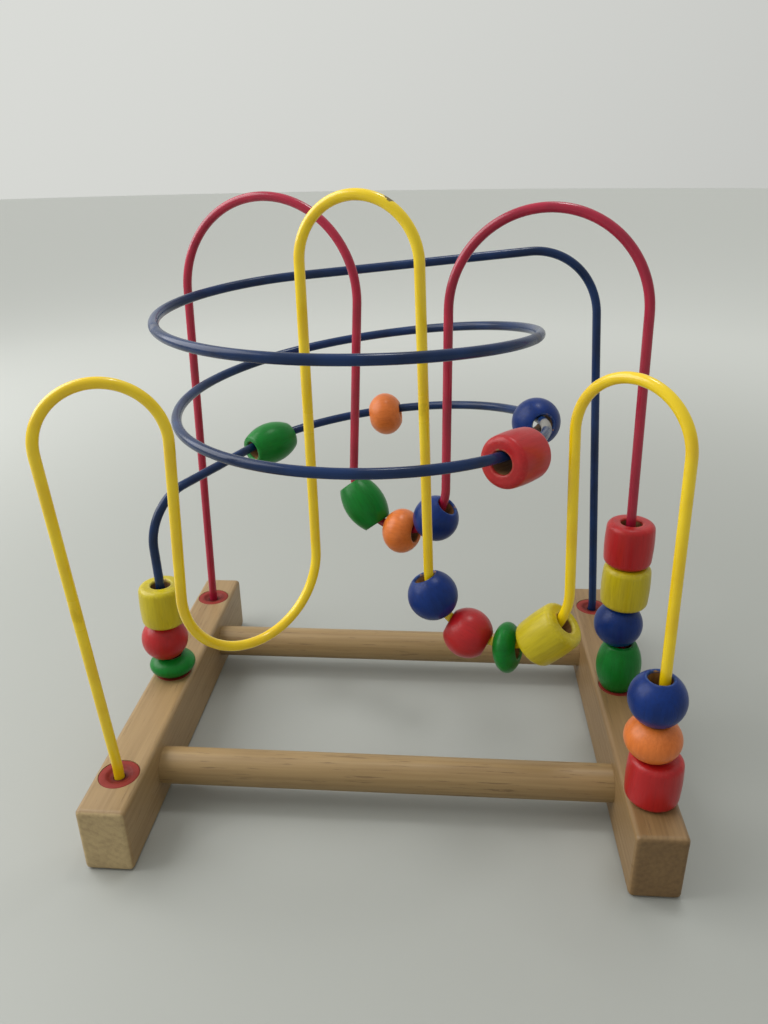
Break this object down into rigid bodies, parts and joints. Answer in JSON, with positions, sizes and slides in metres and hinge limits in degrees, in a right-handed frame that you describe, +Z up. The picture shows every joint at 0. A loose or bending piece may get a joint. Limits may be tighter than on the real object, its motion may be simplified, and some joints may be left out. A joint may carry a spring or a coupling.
{
  "type": "bead maze toy",
  "caption": "Wooden bead maze: drilled bars joined by round dowels hold looped and coiled coated wires, along which painted wooden beads slide.",
  "frame": {"origin": "on the table, under the middle of the base", "axes": "+Z up, +X to the right along the dowels, +Y away from the viewer along the bars"},
  "size_m": [0.2836, 0.2316, 0.2999],
  "materials": {
    "bar_wood": "light brown planed wood with a thin clear coat",
    "dowel_wood": "light brown turned wood with a thin clear coat",
    "bushing_plastic": "dull dark red moulded plastic",
    "yellow_coat": "glossy yellow coating on steel wire, chipped in places",
    "red_coat": "glossy crimson coating on steel wire",
    "blue_coat": "glossy navy coating on steel wire, worn bright at one place",
    "yellow_paint": "thin yellow paint with the grain showing",
    "red_paint": "red paint, worn pale on the edges",
    "blue_paint": "dark blue paint, worn pale round the bore",
    "green_paint": "green paint with the grain showing",
    "orange_paint": "orange paint with the grain showing"
  },
  "bodies": {
    "base": {"base_bar_left": "bar_wood", "bushing_left_front": "bushing_plastic", "bushing_left_middle": "bushing_plastic", "bushing_left_rear": "bushing_plastic", "base_bar_right": "bar_wood", "bushing_right_front": "bushing_plastic", "bushing_right_middle": "bushing_plastic", "bushing_right_rear": "bushing_plastic", "dowel_front": "dowel_wood", "dowel_rear": "dowel_wood", "yellow_wire": "yellow_coat", "red_wire": "red_coat", "blue_wire": "blue_coat"},
    "front_trough_blue_ball": {"front_trough_blue_ball": "blue_paint"},
    "front_trough_red_ball": {"front_trough_red_ball": "red_paint"},
    "front_trough_green_disc": {"front_trough_green_disc": "green_paint"},
    "front_trough_yellow_drum": {"front_trough_yellow_drum": "yellow_paint"},
    "middle_trough_green_barrel": {"middle_trough_green_barrel": "green_paint"},
    "middle_trough_orange_rondelle": {"middle_trough_orange_rondelle": "orange_paint"},
    "middle_trough_blue_ball": {"middle_trough_blue_ball": "blue_paint"},
    "coil_green_barrel": {"coil_green_barrel": "green_paint"},
    "coil_orange_rondelle": {"coil_orange_rondelle": "orange_paint"},
    "coil_blue_ball": {"coil_blue_ball": "blue_paint"},
    "coil_red_drum": {"coil_red_drum": "red_paint"},
    "front_stack_red_drum": {"front_stack_red_drum": "red_paint"},
    "front_stack_orange_rondelle": {"front_stack_orange_rondelle": "orange_paint"},
    "front_stack_blue_ball": {"front_stack_blue_ball": "blue_paint"},
    "right_stack_green_barrel": {"right_stack_green_barrel": "green_paint"},
    "right_stack_blue_ball": {"right_stack_blue_ball": "blue_paint"},
    "right_stack_yellow_drum": {"right_stack_yellow_drum": "yellow_paint"},
    "right_stack_red_drum": {"right_stack_red_drum": "red_paint"},
    "left_stack_green_disc": {"left_stack_green_disc": "green_paint"},
    "left_stack_red_ball": {"left_stack_red_ball": "red_paint"},
    "left_stack_yellow_drum": {"left_stack_yellow_drum": "yellow_paint"}
  },
  "joints": [
    {"name": "front_trough_blue_ball_swing", "type": "hinge", "parent": "front_trough_red_ball", "child": "front_trough_blue_ball", "pos_m": [0.05522, -0.03388, 0.11875], "axis": [-0.3413, -0.9376, -0.0664], "range_deg": [-10, 0]},
    {"name": "front_trough_red_ball_swing", "type": "hinge", "parent": "base", "child": "front_trough_red_ball", "pos_m": [0.05522, -0.03388, 0.11875], "axis": [-0.3413, -0.9376, -0.0664], "range_deg": [-10, 0]},
    {"name": "front_trough_green_disc_swing", "type": "hinge", "parent": "base", "child": "front_trough_green_disc", "pos_m": [0.05585, -0.03215, 0.11883], "axis": [-0.3419, -0.9396, -0.0149], "range_deg": [0, 19.11]},
    {"name": "front_trough_yellow_drum_swing", "type": "hinge", "parent": "front_trough_green_disc", "child": "front_trough_yellow_drum", "pos_m": [0.05585, -0.03215, 0.11883], "axis": [-0.342, -0.9396, -0.0148], "range_deg": [0, 19.11]},
    {"name": "middle_trough_green_barrel_swing", "type": "hinge", "parent": "middle_trough_orange_rondelle", "child": "middle_trough_green_barrel", "pos_m": [0.00269, 0.04291, 0.14224], "axis": [-0.4381, -0.8982, 0.0371], "range_deg": [-18, 0]},
    {"name": "middle_trough_orange_rondelle_swing", "type": "hinge", "parent": "base", "child": "middle_trough_orange_rondelle", "pos_m": [0.00258, 0.04267, 0.14225], "axis": [-0.4385, -0.8983, 0.0281], "range_deg": [-18, 0]},
    {"name": "middle_trough_blue_ball_swing", "type": "hinge", "parent": "base", "child": "middle_trough_blue_ball", "pos_m": [0.00255, 0.04262, 0.14225], "axis": [-0.4382, -0.8985, 0.0264], "range_deg": [0, 33.25]},
    {"name": "coil_green_barrel_swing", "type": "hinge", "parent": "base", "child": "coil_green_barrel", "pos_m": [-0.01033, 0.01331, 0.16113], "axis": [0.1294, 0.0313, -0.9911], "range_deg": [-2.57, 15.37]},
    {"name": "coil_orange_rondelle_swing", "type": "hinge", "parent": "base", "child": "coil_orange_rondelle", "pos_m": [-0.01119, 0.01308, 0.16745], "axis": [0.1524, -0.0325, -0.9878], "range_deg": [-15.37, 29.55]},
    {"name": "coil_blue_ball_swing", "type": "hinge", "parent": "base", "child": "coil_blue_ball", "pos_m": [-0.01234, 0.01364, 0.17603], "axis": [0.0954, -0.1036, -0.99], "range_deg": [-29.55, 16.81]},
    {"name": "coil_red_drum_swing", "type": "hinge", "parent": "base", "child": "coil_red_drum", "pos_m": [-0.0136, 0.01487, 0.18496], "axis": [0.0034, -0.0807, -0.9967], "range_deg": [-16.81, 55]},
    {"name": "front_stack_red_drum_slide", "type": "slide", "parent": "base", "child": "front_stack_red_drum", "axis": [-0.0222, 0.0169, 0.9996], "range_m": [0, 0.03333]},
    {"name": "front_stack_orange_rondelle_slide", "type": "slide", "parent": "front_stack_red_drum", "child": "front_stack_orange_rondelle", "axis": [-0.0222, 0.0169, 0.9996], "range_m": [0, 0.03333]},
    {"name": "front_stack_blue_ball_slide", "type": "slide", "parent": "front_stack_orange_rondelle", "child": "front_stack_blue_ball", "axis": [-0.0222, 0.0169, 0.9996], "range_m": [0, 0.03333]},
    {"name": "right_stack_green_barrel_slide", "type": "slide", "parent": "base", "child": "right_stack_green_barrel", "axis": [-0.017, 0.0485, 0.9987], "range_m": [0, 0.02645]},
    {"name": "right_stack_blue_ball_slide", "type": "slide", "parent": "right_stack_green_barrel", "child": "right_stack_blue_ball", "axis": [-0.017, 0.0485, 0.9987], "range_m": [0, 0.02645]},
    {"name": "right_stack_yellow_drum_slide", "type": "slide", "parent": "right_stack_blue_ball", "child": "right_stack_yellow_drum", "axis": [-0.017, 0.0485, 0.9987], "range_m": [0, 0.02645]},
    {"name": "right_stack_red_drum_slide", "type": "slide", "parent": "right_stack_yellow_drum", "child": "right_stack_red_drum", "axis": [-0.017, 0.0485, 0.9987], "range_m": [0, 0.02645]},
    {"name": "left_stack_green_disc_slide", "type": "slide", "parent": "base", "child": "left_stack_green_disc", "axis": [0, -0.0505, 0.9987], "range_m": [0, 0.00767]},
    {"name": "left_stack_red_ball_slide", "type": "slide", "parent": "left_stack_green_disc", "child": "left_stack_red_ball", "axis": [0, -0.0505, 0.9987], "range_m": [0, 0.00767]},
    {"name": "left_stack_yellow_drum_slide", "type": "slide", "parent": "left_stack_red_ball", "child": "left_stack_yellow_drum", "axis": [0, -0.0505, 0.9987], "range_m": [0, 0.00767]}
  ]
}
